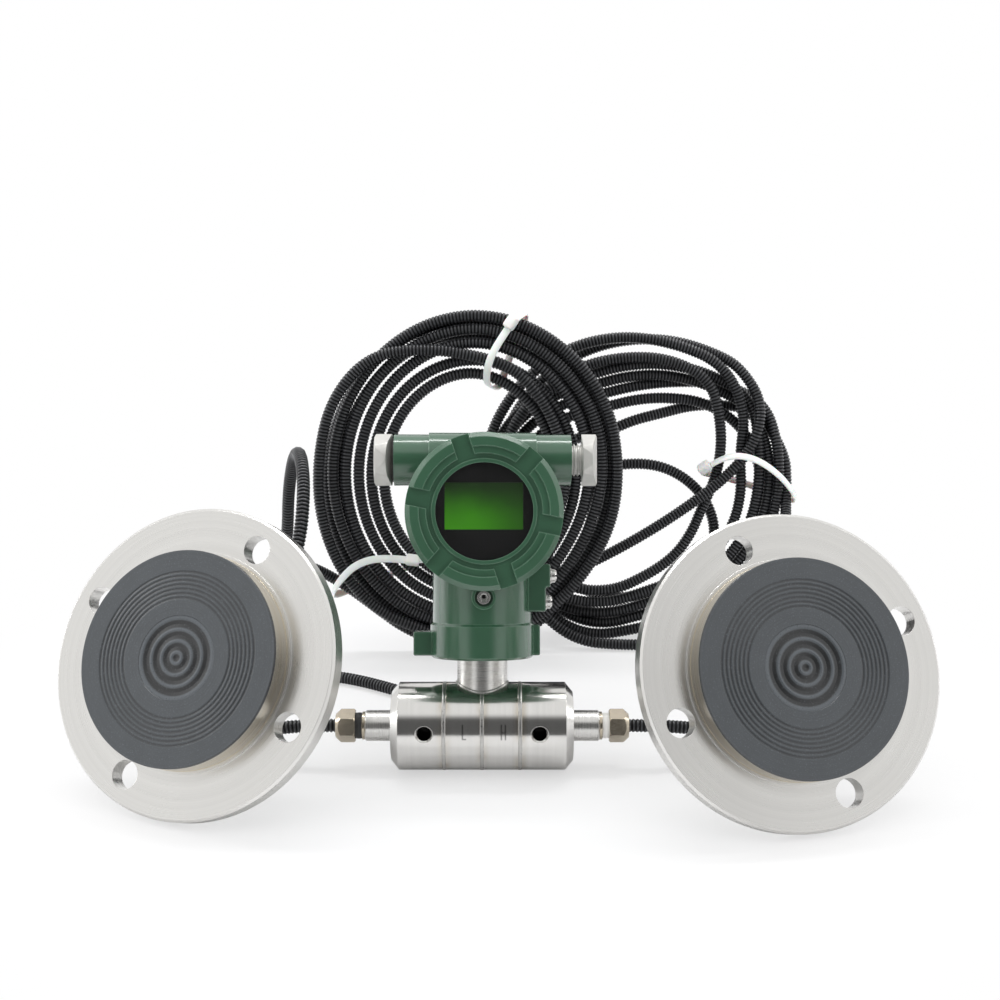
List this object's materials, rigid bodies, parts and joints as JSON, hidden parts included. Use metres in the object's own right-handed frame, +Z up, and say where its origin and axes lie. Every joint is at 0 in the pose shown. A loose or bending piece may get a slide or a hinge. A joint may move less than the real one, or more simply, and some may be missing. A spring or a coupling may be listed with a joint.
{
  "type": "remote seal pressure transmitter",
  "caption": "Differential pressure transmitter: cast housing with display window on a welded sensor barrel, joined by coiled armoured capillaries to flanged diaphragm seals.",
  "frame": {"origin": "on the floor, under the middle of the box round the part without its hoses", "axes": "+X along the sensor barrel towards the right flange, +Y to the back, +Z up"},
  "size_m": [0.5566, 0.3944, 0.2677],
  "materials": {
    "green_paint": "semi-gloss paint on cast aluminium",
    "stainless": "turned satin",
    "weld": "brushed bead",
    "nickel": "dull nickel",
    "plug": "satin nickel",
    "diaphragm": "dark coat, speckled",
    "hose": "ribbed black sheath",
    "nylon": "natural nylon",
    "tape": "wrapped thread tape",
    "rubber": "matt",
    "black_plastic": "satin",
    "display": "lit liquid crystal panel",
    "board": "circuit board",
    "glass": "clear window"
  },
  "bodies": {
    "sensor_base": {"end_block_left": "stainless", "end_block_right": "stainless", "cell_half_left": "stainless", "cell_half_right": "stainless", "seam_welds": "weld", "stem_weld": "weld", "isolating_diaphragm_left": "stainless", "isolating_diaphragm_right": "stainless", "sensor_capsule": "stainless", "sensor_stem": "stainless", "stem_snap_ring": "stainless", "port_stub_left": "stainless", "port_stub_right": "stainless", "union_left": "nickel", "union_right": "nickel", "sealing_washer": "rubber", "thread_tape": "tape", "capillary_nut_left": "nickel", "capillary_nut_right": "nickel", "left_flange": "stainless", "right_flange": "stainless", "left_diaphragm": "diaphragm", "right_diaphragm": "diaphragm", "left_gland": "stainless", "right_gland": "stainless", "left_fill_screw": "stainless", "right_fill_screw": "stainless", "left_hose_lead": "hose", "left_hose_coil": "hose", "left_hose_tail": "hose", "right_hose_lead": "hose", "right_hose_coil": "hose", "right_hose_tail": "hose", "left_upper_tie": "nylon", "left_lower_tie": "nylon", "right_tie": "nylon"},
    "housing": {"housing": "green_paint", "conduit_plug_left": "plug", "conduit_plug_right": "plug", "plug_seal": "rubber", "cover_lock_screw": "stainless", "ground_screws": "stainless", "ground_washers": "stainless", "display_bezel": "black_plastic", "lcd_panel": "display", "display_board": "board", "board_spacers": "nickel", "terminal_block": "black_plastic", "terminal_screws": "nickel"},
    "front_cover_seal": {"front_cover_seal": "rubber"},
    "front_cover": {"front_cover": "green_paint", "window_gasket": "rubber", "window_glass": "glass", "glass_retainer": "stainless"},
    "rear_cover_seal": {"rear_cover_seal": "rubber"},
    "rear_cover": {"rear_cover": "green_paint"}
  },
  "joints": [
    {"name": "housing_swivel", "type": "hinge", "parent": "sensor_base", "child": "housing", "pos_m": [-0.00715, -0.00291, 0.0287], "axis": [0, 0.309, 0.9511], "range_deg": [-180, 180]},
    {"name": "front_cover_travel", "type": "slide", "parent": "housing", "child": "front_cover_seal", "axis": [0.0349, -0.9505, 0.3088], "range_m": [0, 0.0091]},
    {"name": "front_cover_unscrew", "type": "hinge", "parent": "front_cover_seal", "child": "front_cover", "pos_m": [-0.00715, 0.04026, 0.16156], "axis": [0.0349, -0.9505, 0.3088], "range_deg": [0, 1620]},
    {"name": "rear_cover_travel", "type": "slide", "parent": "housing", "child": "rear_cover_seal", "axis": [-0.0349, 0.9505, -0.3088], "range_m": [0, 0.0091]},
    {"name": "rear_cover_unscrew", "type": "hinge", "parent": "rear_cover_seal", "child": "rear_cover", "pos_m": [-0.00715, 0.04026, 0.16156], "axis": [-0.0349, 0.9505, -0.3088], "range_deg": [0, 1620]}
  ],
  "couplings": [
    {"joint": "front_cover_travel", "follows": "front_cover_unscrew", "m_per_rad": 0.00031831},
    {"joint": "rear_cover_travel", "follows": "rear_cover_unscrew", "m_per_rad": 0.00031831}
  ]
}
